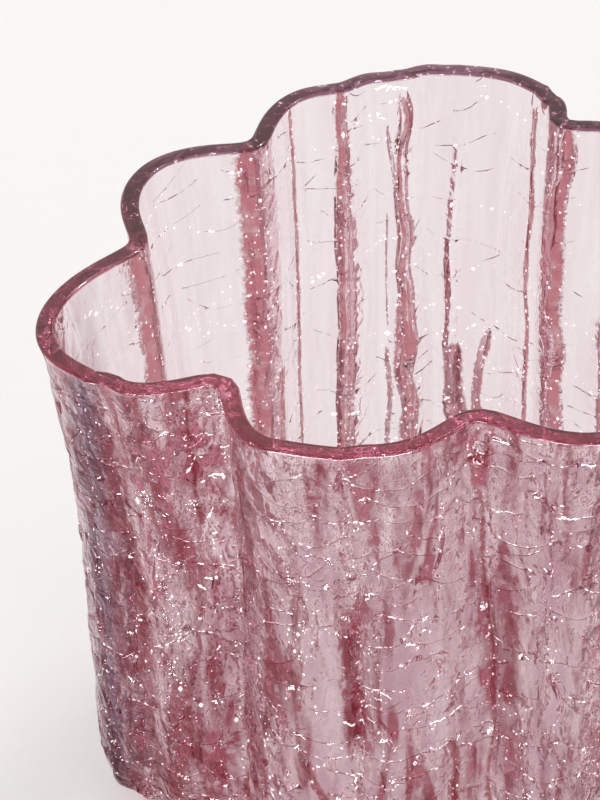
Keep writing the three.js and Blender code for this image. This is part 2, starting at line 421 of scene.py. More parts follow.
def make_cracks():
    """Crack lines as point runs with a depth each, and the panes that have grown together."""
    centres = pane_centres()
    group = np.arange(len(centres))
    cracks = []
    for start, end, first, second in crack_lines(centres):
        across = end - start
        length = np.linalg.norm(across)
        steepness = abs(across[1]) / length
        near = float(nearness(np.array([(start[0] + end[0]) / 2]))[0])
        healed = rng.random() < HEALED_LEVEL + HEALED_UPRIGHT * steepness + HEALED_FAR * (1 - near)
        sag = rng.normal(0, 0.05) - 0.13 * (1 - steepness)
        depth = rng.uniform(*CRACK_DEPTH) * (FAR_CRACK_DEPTH + (1 - FAR_CRACK_DEPTH) * near)
        if healed:
            group[group == group[first]] = group[second]
            continue
        steps = max(2, round(length / CRACK_STEP))
        share = np.linspace(0, 1, steps + 1)[:, None]
        bow = 4 * share * (1 - share) * length * sag
        side = np.array([-across[1], across[0]]) / length
        if side[1] < 0:
            side = -side
        line = warp(start + across * share + side * bow)
        for run in clear_runs(line):
            cracks.append((run, depth))
    return centres, group, cracks


CENTRES, GROUP, CRACKS = make_cracks()


class CrackMap:
    """Distance to the nearest crack, and how deep that crack is."""

    def __init__(self):
        spots = []
        self.depths = []
        for run, depth in CRACKS:
            for start, end in zip(run[:-1], run[1:]):
                steps = max(1, int(np.linalg.norm(end - start) / 0.12))
                for step in range(steps):
                    spots.append(start + (end - start) * step / steps)
                    self.depths.append(depth)
            spots.append(run[-1])
            self.depths.append(depth)
        self.tree = KDTree(len(spots))
        for number, spot in enumerate(spots):
            self.tree.insert((spot[0], spot[1], 0), number)
        self.tree.balance()

    def look(self, points):
        distance = np.empty(len(points))
        depth = np.empty(len(points))
        for number, point in enumerate(points):
            _, nearest, distance[number] = self.tree.find((point[0], point[1], 0))
            depth[number] = self.depths[nearest]
        return distance, depth


CRACK_MAP = CrackMap()

PANE_TILT = 0.02
SHOULDER = 0.26
SHOULDER_WIDTH = 1.6
FLUTE_DEPTH = 0.30
FLUTE_LENGTH = 9
# The near wall is dimpled: shallow hollows about a finger wide, which bend what shows through it
DIMPLE_DEPTH = 0.36
DIMPLE_LENGTH = 12.0
DEEPEST = 3.7


def pane_tree():
    tree = KDTree(len(CENTRES) * 3)
    for number, centre in enumerate(CENTRES):
        for shift in (-1, 0, 1):
            tree.insert(((centre[0] + shift * GIRTH) * PANE_HEIGHT / PANE_WIDTH, centre[1], 0), number)
    tree.balance()
    return tree


def pane_middles():
    middles = np.zeros((len(CENTRES), 2))
    for name in np.unique(GROUP):
        members = CENTRES[GROUP == name]
        middles[name] = members.mean(axis=0) if np.ptp(members[:, 0]) < GIRTH / 2 else members[0]
    return middles


PANE_TREE = pane_tree()
PANE_MIDDLES = pane_middles()
PANE_LEAN = np.random.default_rng(11).normal(0, PANE_TILT, (len(CENTRES), 2))


def pane_lift(points):
    """Each pane leans its own way about its own middle."""
    squeeze = PANE_HEIGHT / PANE_WIDTH
    nearest = np.array([PANE_TREE.find((point[0] * squeeze, point[1], 0))[1] for point in points])
    pane = GROUP[nearest]
    offset = points - PANE_MIDDLES[pane]
    offset[:, 0] = (offset[:, 0] + GIRTH / 2) % GIRTH - GIRTH / 2
    offset = np.clip(offset, -14, 14)
    return (PANE_LEAN[pane] * offset).sum(axis=1)


def sink(points):
    """How far each point of the outside lies under the smooth wall."""
    along, up = points[:, 0], points[:, 1]
    distance, depth = CRACK_MAP.look(points)
    crack = depth * np.clip(1 - distance / CRACK_HALF_WIDTH, 0, 1)
    unevenness = np.clip(0.7 + 0.6 * ripple(along, up, 41, 9), 0.1, 1.4)
    near = nearness(along)
    shoulder = SHOULDER * np.exp(-distance / SHOULDER_WIDTH) * (0.25 + 0.75 * near)
    ends = smooth_step((RISE - up) / 3.5) * smooth_step(up / 10)
    from_seam = smooth_step(np.minimum(along, GIRTH - along) / 5)
    panes = np.clip(pane_lift(points) * (0.3 + 0.7 * near), -0.3, 0.3) + 0.3
    upright_waves = np.clip(ripple(along, up * 0.14, 43, FLUTE_LENGTH), -1, 1.2)
    flutes = FLUTE_DEPTH * (1 + upright_waves) * ruffle(along, up)
    round_waves = np.clip(ripple(along, up * 0.8, 44, DIMPLE_LENGTH), -1, 1.3)
    dimples = DIMPLE_DEPTH * (1 + round_waves) * (0.08 + 0.92 * near)
    dimples = dimples * (1 + 0.9 * smooth_step((60 - up) / 30) * near)
    soft = (shoulder + panes + flutes + dimples) * ends * from_seam
    total = soft + crack * unevenness * ends * from_seam + crease_depth(along, up) * from_seam
    return np.minimum(total, DEEPEST)


# The outside as a mesh: points on the cracks and creases, loosely filled in between

FILL_STEP = 2.4
STATION_STEP = 1.7
STATIONS = round(GIRTH / STATION_STEP)
SEAM_STEPS = round(RISE / 1.8)


class Net:
    """Points and edges that the outside's triangles must follow."""

    def __init__(self):
        self.points = []
        self.edges = []

    def add_run(self, run):
        first = len(self.points)
        self.points.extend((float(point[0]), float(point[1])) for point in run)
        self.edges.extend((number, number + 1) for number in range(first, first + len(run) - 1))

    def add_points(self, points):
        self.points.extend((float(point[0]), float(point[1])) for point in points)


def beside(run, distance):
    """A line at a distance to one side of a run."""
    along = np.gradient(run, axis=0)
    along = along / np.linalg.norm(along, axis=1, keepdims=True)
    return run + np.stack([-along[:, 1], along[:, 0]], axis=-1) * distance


def add_border(net):
    """The outline of the unrolled wall, with the same points on both sides of the seam."""
    round_steps = np.linspace(0, GIRTH, STATIONS + 1)
    up_steps = np.linspace(0, RISE, SEAM_STEPS + 1)
    corners = [
        np.stack([round_steps, np.zeros_like(round_steps)], axis=-1)[:-1],
        np.stack([np.full_like(up_steps, GIRTH), up_steps], axis=-1)[:-1],
        np.stack([round_steps[::-1], np.full_like(round_steps, RISE)], axis=-1)[:-1],
        np.stack([np.zeros_like(up_steps), up_steps[::-1]], axis=-1),
    ]
    net.add_run(np.concatenate(corners))


def add_creases(net):
    for groove in GROOVES:
        up = np.arange(max(3.0, groove.bottom - 3), min(RISE - 1.0, groove.top + 3), 1.6)
        middle = groove.along(up)
        lines = [share * groove.half_width for share in (-1, -0.5, 0, 0.5, 1)]
        if groove.band > groove.half_width + 0.8:
            lines += [-groove.band - 0.3, -groove.band + 0.3, groove.band - 0.3, groove.band + 0.3]
        for line in lines:
            net.add_run(np.stack([middle + line * groove.width_at(up), up], axis=-1))
    up = np.arange(3.0, RISE - 1.0, 2.0)
    for fold in FOLD_ROUND[1:]:
        for line in (-1.1, 0.0, 1.1):
            net.add_run(np.stack([np.full_like(up, fold + line), up], axis=-1))


def add_cracks(net):
    shoulders = []
    for run, _ in CRACKS:
        net.add_run(run)
        if len(run) < 4:
            continue
        for side in (-1, 1):
            net.add_run(beside(run, side * CRACK_HALF_WIDTH)[1:-1])
            shoulders.append(beside(run, side * SHOULDER_WIDTH * 0.6)[1:-1:2])
    return np.concatenate(shoulders)


def add_filling(net, extra):
    rows = np.arange(1.5, RISE - 1, FILL_STEP * 0.87)
    filling = []
    for number, up in enumerate(rows):
        along = np.arange(1.5 + (number % 2) * FILL_STEP / 2, GIRTH - 1, FILL_STEP)
        filling.append(np.stack([along, np.full_like(along, up)], axis=-1))
    filling = np.concatenate(filling)
    filling = np.concatenate([filling + rng.uniform(-0.3, 0.3, filling.shape), extra])
    distance, _ = CRACK_MAP.look(filling)
    clear = distance > CRACK_HALF_WIDTH * 2.2
    for groove in GROOVES:
        beside_it = np.abs(filling[:, 0] - groove.along(filling[:, 1])) > groove.half_width + 0.4
        clear &= beside_it | (groove.presence(filling[:, 1]) < 0.01)
    clear &= (filling[:, 1] > 1) & (filling[:, 1] < RISE - 1)
    clear &= (filling[:, 0] > 1) & (filling[:, 0] < GIRTH - 1)
    net.add_points(filling[clear])


def make_outside():
    """Vertices and triangles of the outside, and the vertex at each station of its two ends."""
    net = Net()
    add_border(net)
    add_creases(net)
    shoulders = add_cracks(net)
    add_filling(net, shoulders)
    result = delaunay_2d_cdt([Vector(point) for point in net.points], net.edges, [], 0, 1e-4)
    flat = np.array([tuple(vertex) for vertex in result[0]])
    triangles = np.array([tuple(face) for face in result[2]])
    a, b, c = (flat[triangles[:, corner]] for corner in range(3))
    area = (b[:, 0] - a[:, 0]) * (c[:, 1] - a[:, 1]) - (b[:, 1] - a[:, 1]) * (c[:, 0] - a[:, 0])
    triangles = triangles[np.abs(area) > 1e-7]
    area = area[np.abs(area) > 1e-7]
    triangles[area < 0] = triangles[area < 0][:, ::-1]
    flat[:, 0] = np.clip(flat[:, 0], 0, GIRTH)
    flat[:, 1] = np.clip(flat[:, 1], 0, RISE)
    points = outer_point(flat[:, 0], flat[:, 1]) - outer_normal(flat[:, 0], flat[:, 1]) * sink(flat)[:, None]
    return flat, points, triangles


def join_seam(flat, triangles):
    """Uses the seam's left vertices for its right ones, and finds the vertices of the two ends."""
    left = np.flatnonzero(flat[:, 0] < 0.01)
    right = np.flatnonzero(flat[:, 0] > GIRTH - 0.01)
    left = left[np.argsort(flat[left, 1])]
    right = right[np.argsort(flat[right, 1])]
    assert len(left) == len(right)
    same = np.arange(len(flat))
    same[right] = left
    triangles = same[triangles]
    foot = np.flatnonzero((flat[:, 1] < 0.01) & (flat[:, 0] < GIRTH - 0.01))
    rim = np.flatnonzero((flat[:, 1] > RISE - 0.01) & (flat[:, 0] < GIRTH - 0.01))
    foot = foot[np.argsort(flat[foot, 0])]
    rim = rim[np.argsort(flat[rim, 0])]
    assert len(foot) == len(rim) == STATIONS
    return triangles, foot, rim


# The rim, the inside and the foot as rings of stations

STATION_ROUND = np.linspace(0, GIRTH, STATIONS + 1)[:-1]
STATION_PLACES = np.interp(STATION_ROUND, ROUND, PLACES)
RIM_STEPS = 7
RIM_ROUGHNESS = 0.05
INSIDE_STEP = 2.6
CORNER_STEPS = 9
INSIDE_RIPPLE = 0.16
INSIDE_FLUTES = 0.07


def station_outline(z, softening=0.0):
    radius, angle = wall_outline(STATION_PLACES, np.full(STATIONS, float(z)), softening)
    radius = radius - SKIN
    return np.stack([radius * np.cos(angle), radius * np.sin(angle)], axis=-1)


def inset(outline, distance):
    """The outline moved in, square to itself."""
    along = np.roll(outline, -1, axis=0) - np.roll(outline, 1, axis=0)
    along = along / np.linalg.norm(along, axis=1, keepdims=True)
    return outline + np.stack([-along[:, 1], along[:, 0]], axis=-1) * np.reshape(distance, (-1, 1))


def shrink(outline, distance):
    length = np.linalg.norm(outline, axis=1, keepdims=True)
    return outline * (1 - distance / length)


def ring(outline, z):
    return np.column_stack([outline, np.broadcast_to(z, len(outline))])


def rim_rings():
    rings = []
    outline = station_outline(HEIGHT)
    wobble = RIM_ROUGHNESS * ripple(STATION_ROUND, 0.0, 61, 16)
    for step in range(1, RIM_STEPS + 1):
        turn = step / RIM_STEPS * math.pi / 2
        drop = RIM_EDGE * (1 - math.sin(turn))
        rings.append(ring(inset(outline, RIM_EDGE * (1 - math.cos(turn))), HEIGHT - drop))
    rings.append(ring(inset(outline, WALL / 2 + wobble), HEIGHT))
    for step in range(RIM_STEPS + 1):
        turn = step / RIM_STEPS * math.pi / 2
        drop = RIM_EDGE * (1 - math.cos(turn))
        rings.append(ring(inset(outline, WALL - RIM_EDGE * (1 - math.sin(turn))), HEIGHT - drop))
    return rings


def inside_thickness(z):
    """Distance of the inside from the outside's smooth outline, gently rippled and fluted."""
    fade = smooth_step((HEIGHT - RIM_EDGE - z) / 12)
    waves = INSIDE_RIPPLE * ripple(STATION_ROUND, z * 0.55, 71, 30)
    flutes = INSIDE_FLUTES * ripple(STATION_ROUND, z * 0.2, 72, 11) * (0.4 + 0.6 * nearness(STATION_ROUND))
    return WALL + fade * (waves + flutes)


FLOOR_SHARES = (0.94, 0.88, 0.81, 0.74, 0.67, 0.6, 0.52, 0.44, 0.36, 0.28, 0.2, 0.12, 0.05)
FLOOR_LIFT = 0.35


def floor_lift(plan):
    """Soft uneven waves of the inner floor, in plan, so that they look the same in every direction."""
    waves = np.random.default_rng(81)
    total = np.zeros(len(plan))
    for _ in range(8):
        turn, length, start = waves.uniform(0, 2 * math.pi), waves.uniform(14, 34), waves.uniform(0, 6.3)
        across = plan[:, 0] * math.cos(turn) + plan[:, 1] * math.sin(turn)
        total = total + np.sin(2 * math.pi * across / length + start)
    return FLOOR_LIFT * total / math.sqrt(8)


def inside_rings():
    bottom = BASE + INNER_CORNER
    top = HEIGHT - RIM_EDGE
    rings = []
    for z in np.linspace(top, bottom, round((top - bottom) / INSIDE_STEP))[1:]:
        rings.append(ring(inset(station_outline(z), inside_thickness(z)), z))
    for step in range(1, CORNER_STEPS + 1):
        turn = step / CORNER_STEPS * math.pi / 2
        z = BASE + INNER_CORNER * (1 - math.sin(turn))
        outline = inset(station_outline(z, FOOT_SOFTENING * step / CORNER_STEPS), inside_thickness(z))
        rings.append(ring(shrink(outline, INNER_CORNER * (1 - math.cos(turn))), z))
    floor = rings[-1][:, :2]
    for share in FLOOR_SHARES:
        plan = floor * share
        rings.append(ring(plan, BASE + floor_lift(plan) * smooth_step((1 - share) / 0.12)))
    return rings


def foot_rings():
    """From the flat ring's outer edge in to the hollow's middle."""
    edge = shrink(station_outline(0, FOOT_SOFTENING), OUTER_CORNER)
    hollow = shrink(edge, FOOT_RING)
    rings = [ring(shrink(edge, FOOT_RING / 2), 0.0), ring(hollow, 0.0)]
    for share in (0.93, 0.8, 0.55, 0.3, 0.12):
        lift = FOOT_HOLLOW * smooth_step((1 - share) / 0.6)
        rings.append(ring(hollow * share, lift))
    return rings


class Shell:
    """The closed skin of the glass, gathered from its surfaces.

    Each corner of a face keeps its place on the unrolled wall, and each vertex keeps its marks:
    how deep the painted rose shade is there, and how finely pleated.
    """

    def __init__(self, points, triangles, places, marks):
        self.points = [points]
        self.marks = [marks]
        self.count = len(points)
        self.faces = [tuple(int(corner) for corner in face) for face in triangles]
        self.places = places

    def add_rings(self, rings, start, outwards, pleats):
        """Quads from a row of vertices through a stack of rings, closed to a point at the end."""
        row = list(start)
        travelled = 0.0
        for number, points in enumerate(rings):
            following = list(range(self.count, self.count + len(points)))
            self.keep(points, pleats[number] * ruffle(STATION_ROUND, np.full(STATIONS, 90.0)))
            self.stitch(row, following, outwards, travelled)
            travelled += 2.0
            row = following
        middle = self.count
        self.keep(np.array([[0.0, 0.0, rings[-1][:, 2].mean()]]), np.zeros(1))
        for number, here in enumerate(row):
            there = row[(number + 1) % len(row)]
            self.faces.append((here, there, middle) if outwards else (there, here, middle))
            self.places.extend([(number * STATION_STEP, travelled)] * 3)

    def keep(self, points, pleat):
        self.points.append(points)
        self.marks.append(np.column_stack([np.zeros(len(points)), pleat]))
        self.count += len(points)

    def stitch(self, lower, upper, outwards, travelled):
        for number in range(len(lower)):
            after = (number + 1) % len(lower)
            quad = (lower[number], lower[after], upper[after], upper[number])
            left, right = number * STATION_STEP, (number + 1) * STATION_STEP
            place = [(left, travelled), (right, travelled), (right, travelled + 2), (left, travelled + 2)]
            self.faces.append(quad if outwards else quad[::-1])
            self.places.extend(place if outwards else place[::-1])


def make_glass_mesh():
    flat, outside, triangles = make_outside()
    places = [tuple(flat[corner]) for face in triangles for corner in face]
    marks = np.column_stack([fold_shade_depth(flat[:, 0], flat[:, 1]), ruffle(flat[:, 0], flat[:, 1])])
    triangles, foot, rim = join_seam(flat, triangles)
    shell = Shell(outside, triangles, places, marks)
    rims = rim_rings()
    insides = inside_rings()
    on_wall = [0.5] * (len(insides) - CORNER_STEPS - len(FLOOR_SHARES))
    on_corner = list(np.linspace(0.5, 0, CORNER_STEPS))
    pleats = on_wall + on_corner + [0.0] * len(FLOOR_SHARES)
    shell.add_rings(rims + insides, rim, True, [0.0] * len(rims) + pleats)
    undersides = foot_rings()
    shell.add_rings(undersides, foot, False, [0.0] * len(undersides))
    points = np.concatenate(shell.points)
    middle = (points.min(axis=0) + points.max(axis=0)) / 2
    points[:, :2] -= middle[:2]
    # The joined seam leaves its right-hand vertices unused
    used = np.unique(np.concatenate([np.array(face) for face in shell.faces]))
    renumbered = np.full(len(points), -1)
    renumbered[used] = np.arange(len(used))
    faces = [tuple(int(renumbered[corner]) for corner in face) for face in shell.faces]
    mesh = bpy.data.meshes.new("crackle_glass")
    mesh.from_pydata((points[used] * METRES).tolist(), [], faces)
    unrolled = mesh.uv_layers.new(name="unrolled_wall")
    unrolled.data.foreach_set("uv", (np.array(shell.places) / 100).ravel())
    # The first mark is how deep the painted rose shade at the folds is
    marks = np.concatenate(shell.marks)[used]
    for number, name in enumerate(("fold_shade", "pleats")):
        layer = mesh.attributes.new(name, "FLOAT", "POINT")
        layer.data.foreach_set("value", marks[:, number])
    mesh.shade_smooth()
    mesh.set_sharp_from_angle(angle=math.radians(32))
    return mesh, middle


# Painted glints: small white flakes that glow a little, sunk along the cracks and in the folds

FAR_GLINT_CHAINS = 90


def glint_flake_places():
    """Where the flakes lie on the unrolled wall, which way they point, and their half lengths and widths."""
    picks = np.random.default_rng(21)
    found = []
    for run, _ in CRACKS:
        near = float(nearness(run[:1, 0])[0])
        if picks.random() > 0.35 + 0.62 * near:
            continue
        first = picks.integers(0, len(run))
        count = picks.integers(1, 3 + round(12 * near))
        for number in range(first, min(len(run) - 1, first + count)):
            if picks.random() < 0.22:
                continue
            towards = run[number + 1] - run[number]
            spot = run[number] + towards * picks.random() + picks.normal(0, 0.06, 2)
            width = (0.13 + 0.07 * picks.gamma(1.6, 0.65)) * (2.2 - 0.9 * near)
            length = width * picks.uniform(1.1, 1.6 + 1.9 * near)
            found.append((*spot, *towards / np.linalg.norm(towards), length, width))
    for groove in GROOVES:
        count = int((groove.top - groove.bottom) * (groove.band + 0.6) * 0.2)
        up = picks.uniform(groove.bottom, groove.top, count)
        for height, centre in zip(up, groove.along(up)):
            width = 0.14 + 0.12 * picks.gamma(1.6, 0.6)
            aside = picks.normal(0, 0.7) * (groove.band + 0.3)
            found.append((centre + aside, height, 0.0, 1.0, width * picks.uniform(1.0, 1.8), width))
    for _ in range(FAR_GLINT_CHAINS):
        along, up = picks.uniform(20, 262), picks.uniform(30, RISE - 8)
        slope = picks.normal(0, 0.22)
        for _ in range(picks.integers(2, 7)):
            width = 0.26 + 0.12 * picks.gamma(1.5, 0.8)
            found.append((along, up, 1.0, 0.0, width * picks.uniform(1.0, 1.5), width))
            along, up = along + picks.uniform(1.5, 6), up + slope * 4 + picks.normal(0, 0.4)
    found = np.array(found)
    inside = (found[:, 0] > 2) & (found[:, 0] < GIRTH - 2) & (found[:, 1] > 6) & (found[:, 1] < RISE - 2)
    return found[inside]


def make_glint_flakes(middle):
    """Each flake has six corners and eight faces: a slim pointed chip, sunk in the outside, that stands for
    a painted glint.
    """
    places = glint_flake_places()
    along, up = places[:, 0], places[:, 1]
    length, width = places[:, 4:5], places[:, 5:6]
    outward = outer_normal(along, up)
    surface = outer_point(along, up)
    ahead = outer_point(along + places[:, 2] * 0.5, up + places[:, 3] * 0.5) - surface
    ahead = ahead / np.linalg.norm(ahead, axis=1, keepdims=True)
    across = np.cross(outward, ahead)
    centre = surface - outward * (sink(places[:, :2]) + 0.12)[:, None]
    corners = np.stack([
        centre - ahead * length, centre + ahead * length,
        centre - across * width, centre + across * width,
        centre - outward * width * 0.5, centre + outward * width * 0.5,
    ], axis=1).reshape(-1, 3)
    corners[:, :2] -= middle[:2]
    faces = [(0, 4, 3), (0, 3, 5), (0, 5, 2), (0, 2, 4), (1, 3, 4), (1, 5, 3), (1, 2, 5), (1, 4, 2)]
    every = (np.array(faces)[None] + 6 * np.arange(len(places))[:, None, None]).reshape(-1, 3)
    mesh = bpy.data.meshes.new("glint_flakes")
    mesh.from_pydata((corners * METRES).tolist(), [], every.tolist())
    return mesh


# Materials

class Nodes:
    """Short calls for a material's nodes."""

    def __init__(self, tree):
        self.tree = tree

    def add(self, kind, **inputs):
        node = self.tree.nodes.new(kind)
        for name, value in inputs.items():
            self.put(node, name.replace("_", " "), value)
        return node

    def put(self, node, name, value):
        socket = node.inputs[name]
        if isinstance(value, bpy.types.NodeSocket):
            self.tree.links.new(value, socket)
        else:
            socket.default_value = value

    def mark(self, name):
        node = self.add("ShaderNodeAttribute")
        node.attribute_name = name
        return node.outputs["Fac"]

    def blend(self, share, first, second):
        node = self.add("ShaderNodeMix")
        node.data_type = "RGBA"
        for socket, value in ((node.inputs[0], share), (node.inputs[6], first), (node.inputs[7], second)):
            if isinstance(value, bpy.types.NodeSocket):
                self.tree.links.new(value, socket)
            else:
                socket.default_value = value
        return node.outputs[2]

    def scaled(self, vector, factors):
        node = self.add("ShaderNodeVectorMath")
        node.operation = "MULTIPLY"
        self.tree.links.new(vector, node.inputs[0])
        node.inputs[1].default_value = factors
        return node.outputs[0]

    def offset(self, vector, by, amount):
        node = self.add("ShaderNodeVectorMath")
        node.operation = "MULTIPLY_ADD"
        self.tree.links.new(by, node.inputs[0])
        node.inputs[1].default_value = (amount, amount, amount)
        self.tree.links.new(vector, node.inputs[2])
        return node.outputs[0]

    def math(self, operation, first, second=0.0, clamp=False):
        node = self.tree.nodes.new("ShaderNodeMath")
        node.operation = operation
        node.use_clamp = clamp
        for number, value in enumerate((first, second)):
            if isinstance(value, bpy.types.NodeSocket):
                self.tree.links.new(value, node.inputs[number])
            else:
                node.inputs[number].default_value = value
        return node.outputs[0]

    def times(self, first, second):
        return self.math("MULTIPLY", first, second)

    def mask(self, value, threshold, sharpness):
        """0 up to the threshold, then rising to 1."""
        return self.math("MULTIPLY", self.math("SUBTRACT", value, threshold), sharpness, clamp=True)

    def noise(self, vector, scale, detail, roughness=0.5, distortion=0.0):
        node = self.add("ShaderNodeTexNoise", Vector=vector, Scale=scale, Detail=detail, Roughness=roughness)
        node.inputs["Distortion"].default_value = distortion
        return node.outputs["Fac"]

    def wall_noise(self, across, upright, detail, distortion):
        """Noise on the unrolled wall, with about so many features in 10 cm round the wall and up it."""
        unrolled = self.add("ShaderNodeUVMap")
        unrolled.uv_map = "unrolled_wall"
        stretched = self.scaled(unrolled.outputs["UV"], (across, upright, 1.0))
        return self.noise(stretched, 1.0, detail, 0.5, distortion)


GLASS_TINT = (0.985, 0.985, 0.985, 1)
# Painted shade: the deep rose that long light paths through the folds give, painted into the colour
FOLD_SHADE_TINT = (0.31, 0.042, 0.058, 1)
# Painted shade: the near wall's washes, rose streaks and violet left edge, for the deeper look of glass seen
# through two walls
NEAR_WALL_SHADE_TINT = (0.74, 0.57, 0.63, 1)
STREAK_SHADE_TINT = (0.32, 0.036, 0.064, 1)
EDGE_SHADE_TINT = (0.16, 0.09, 0.17, 1)
# Painted shade and glints on the rim: plum for its long light path, darker on the far side, with pale glint
# specks
RIM_SHADE_TINT = (0.60, 0.075, 0.16, 1)
FAR_RIM_SHADE_TINT = (0.10, 0.02, 0.045, 1)
RIM_GLINT_SPECK = (0.95, 0.62, 0.70, 1)
GLASS_DEPTH_COLOUR = (0.80, 0.45, 0.54, 1)
GLASS_DENSITY = 38.0
# How much of the near wall's painted shade the far wall has
FAR_SHADE_SHARE = 0.19
STREAK_START = 0.505
STREAKS_MORE_ON_LEFT = 0.055
# The near wall's left edge has a painted violet streak of shade this many metres to the left of the middle
EDGE_SHADE_PLACE = 0.0845
RIM_START = HEIGHT * METRES - 0.0011
POLISHED = 0.004
CRUSHED_HAZE = 0.10
FINE_PLEATS = 0.12
BROAD_WAVES = 4.8
DENTS = 2.3
GRIT = 0.8
HAIR_DEPTH = 0.14
RELIEF = 0.0006


def fold_shade_bands(nodes, crushed):
    """1 in the bands of painted deep rose shade at the folds, with frayed edges."""
    fraying = nodes.times(nodes.math("SUBTRACT", crushed, 0.5), 0.42)
    return nodes.mask(nodes.math("ADD", nodes.mark("fold_shade"), fraying), 0.5, 7.0)


def wall_shade_tint(nodes, spot, pleats, far, cloudy):
    """Painted shade on the near wall: soft washes and broken rose streaks, with a violet streak at its left
    edge.
    """
    near = nodes.times(nodes.math("MULTIPLY", pleats, 3.0, clamp=True), nodes.math("SUBTRACT", 1.0, far))
    # Painted shade: soft washes, mostly on the near wall
    shade_patches = nodes.mask(nodes.wall_noise(14.0, 2.4, 3.0, 0.8), 0.38, 4.5)
    share = nodes.times(shade_patches, nodes.math("MAXIMUM", near, FAR_SHADE_SHARE))
    tint = nodes.blend(share, GLASS_TINT, NEAR_WALL_SHADE_TINT)
    drifting = nodes.wall_noise(13.0, 2.5, 4.0, 0.9)
    leftwards = nodes.math("SUBTRACT", nodes.times(spot.outputs["X"], -20.0), 0.5, clamp=True)
    threshold = nodes.math("SUBTRACT", STREAK_START, nodes.times(leftwards, STREAKS_MORE_ON_LEFT))
    streaks = nodes.times(nodes.mask(drifting, threshold, 9.0), nodes.mask(cloudy, 0.29, 6.0))
    # Painted shade: broken rose streaks, more towards the left
    tint = nodes.blend(nodes.times(streaks, near), tint, STREAK_SHADE_TINT)
    beside = nodes.math("ABSOLUTE", nodes.math("ADD", spot.outputs["X"], EDGE_SHADE_PLACE))
    edge = nodes.math("SUBTRACT", 1.0, nodes.times(beside, 170.0), clamp=True)
    ragged_edge = nodes.times(edge, nodes.mask(drifting, 0.25, 5.0))
    # Painted shade: a violet streak at the near wall's left edge
    return nodes.blend(nodes.times(ragged_edge, near), tint, EDGE_SHADE_TINT)


def rim_shade_and_glints(nodes, place, far):
    """Painted plum shade for light that travels down the rim, darker on the far side, with pale specks that
    are painted glints.
    """
    plum_shade = nodes.blend(far, RIM_SHADE_TINT, FAR_RIM_SHADE_TINT)
    glint_specks = nodes.mask(nodes.noise(place, 480.0, 2.0), 0.60, 12.0)
    return nodes.blend(glint_specks, plum_shade, RIM_GLINT_SPECK)


def glass_colour(nodes, place, pleats, in_band):
    """Clear glass, with painted deep rose shade in the bands at the folds, painted shade on the near wall,
    and painted plum shade with painted glints on the polished rim.
    """
    spot = nodes.add("ShaderNodeSeparateXYZ", Vector=place)
    far = nodes.math("ADD", nodes.times(spot.outputs["Y"], 14.0), 0.5, clamp=True)
    cloudy = nodes.noise(place, 170.0, 4.0, 0.7)
    tint = wall_shade_tint(nodes, spot, pleats, far, cloudy)
    # Painted shade: deep rose in the bands at the folds
    strength = nodes.times(in_band, nodes.math("ADD", cloudy, 0.5, clamp=True))
    fold_shaded = nodes.blend(strength, tint, FOLD_SHADE_TINT)
    # The polished rim gets painted plum shade and painted glints
    on_rim = nodes.mask(spot.outputs["Z"], RIM_START, 2500.0)
    return nodes.blend(on_rim, fold_shaded, rim_shade_and_glints(nodes, place, far))


def hair_cracks(nodes, place, pleats):
    """Hair cracks in patches, stronger on the near wall."""
    bent = nodes.add("ShaderNodeTexNoise", Vector=place, Scale=70.0, Detail=2.0)
    warped = nodes.offset(place, bent.outputs["Color"], 0.006)
    hairs = nodes.add("ShaderNodeTexVoronoi", Vector=warped, Scale=140.0)
    hairs.feature = "DISTANCE_TO_EDGE"
    line = nodes.math("SUBTRACT", 1.0, nodes.times(hairs.outputs["Distance"], 22.0), clamp=True)
    patches = nodes.mask(nodes.noise(place, 42.0, 1.0), 0.5, 8.0)
    return nodes.times(nodes.times(line, patches), nodes.math("ADD", pleats, 0.85))


def glass_relief(nodes, place, pleats, in_band, crushed):
    """Fine pleats, waves and dents of the near wall, hair cracks, and crushed glass in the bands."""
    fine = nodes.times(nodes.wall_noise(26.0, 9.0, 1.5, 1.2), FINE_PLEATS)
    broad = nodes.times(nodes.wall_noise(10.0, 6.5, 1.0, 2.0), BROAD_WAVES)
    dents = nodes.times(nodes.wall_noise(27.0, 19.0, 1.0, 1.0), DENTS)
    waves = nodes.math("ADD", nodes.math("ADD", fine, broad), dents)
    grit = nodes.times(crushed, nodes.times(in_band, GRIT))
    height = nodes.math("ADD", nodes.times(waves, pleats), grit)
    return nodes.math("SUBTRACT", height, nodes.times(hair_cracks(nodes, place, pleats), HAIR_DEPTH))


def make_glass_material():
    material = bpy.data.materials.new("pink_glass")
    material.use_nodes = True
    tree = material.node_tree
    nodes = Nodes(tree)
    shader = tree.nodes["Principled BSDF"]
    shader.inputs["Transmission Weight"].default_value = 1.0
    shader.inputs["IOR"].default_value = 1.5
    shader.inputs["Metallic"].default_value = 0.0
    place = nodes.add("ShaderNodeTexCoord").outputs["Object"]
    pleats = nodes.mark("pleats")
    crushed = nodes.noise(place, 520.0, 3.0, 0.65)
    in_band = fold_shade_bands(nodes, crushed)
    nodes.put(shader, "Base Color", glass_colour(nodes, place, pleats, in_band))
    haze = nodes.times(nodes.times(in_band, crushed), CRUSHED_HAZE)
    nodes.put(shader, "Roughness", nodes.math("ADD", haze, POLISHED))
    height = glass_relief(nodes, place, pleats, in_band, crushed)
    bump = nodes.add("ShaderNodeBump", Strength=0.7, Distance=RELIEF, Height=height)
    nodes.put(shader, "Normal", bump.outputs["Normal"])
    depth = nodes.add("ShaderNodeVolumeAbsorption", Color=GLASS_DEPTH_COLOUR, Density=GLASS_DENSITY)
    tree.links.new(depth.outputs["Volume"], tree.nodes["Material Output"].inputs["Volume"])
    return material


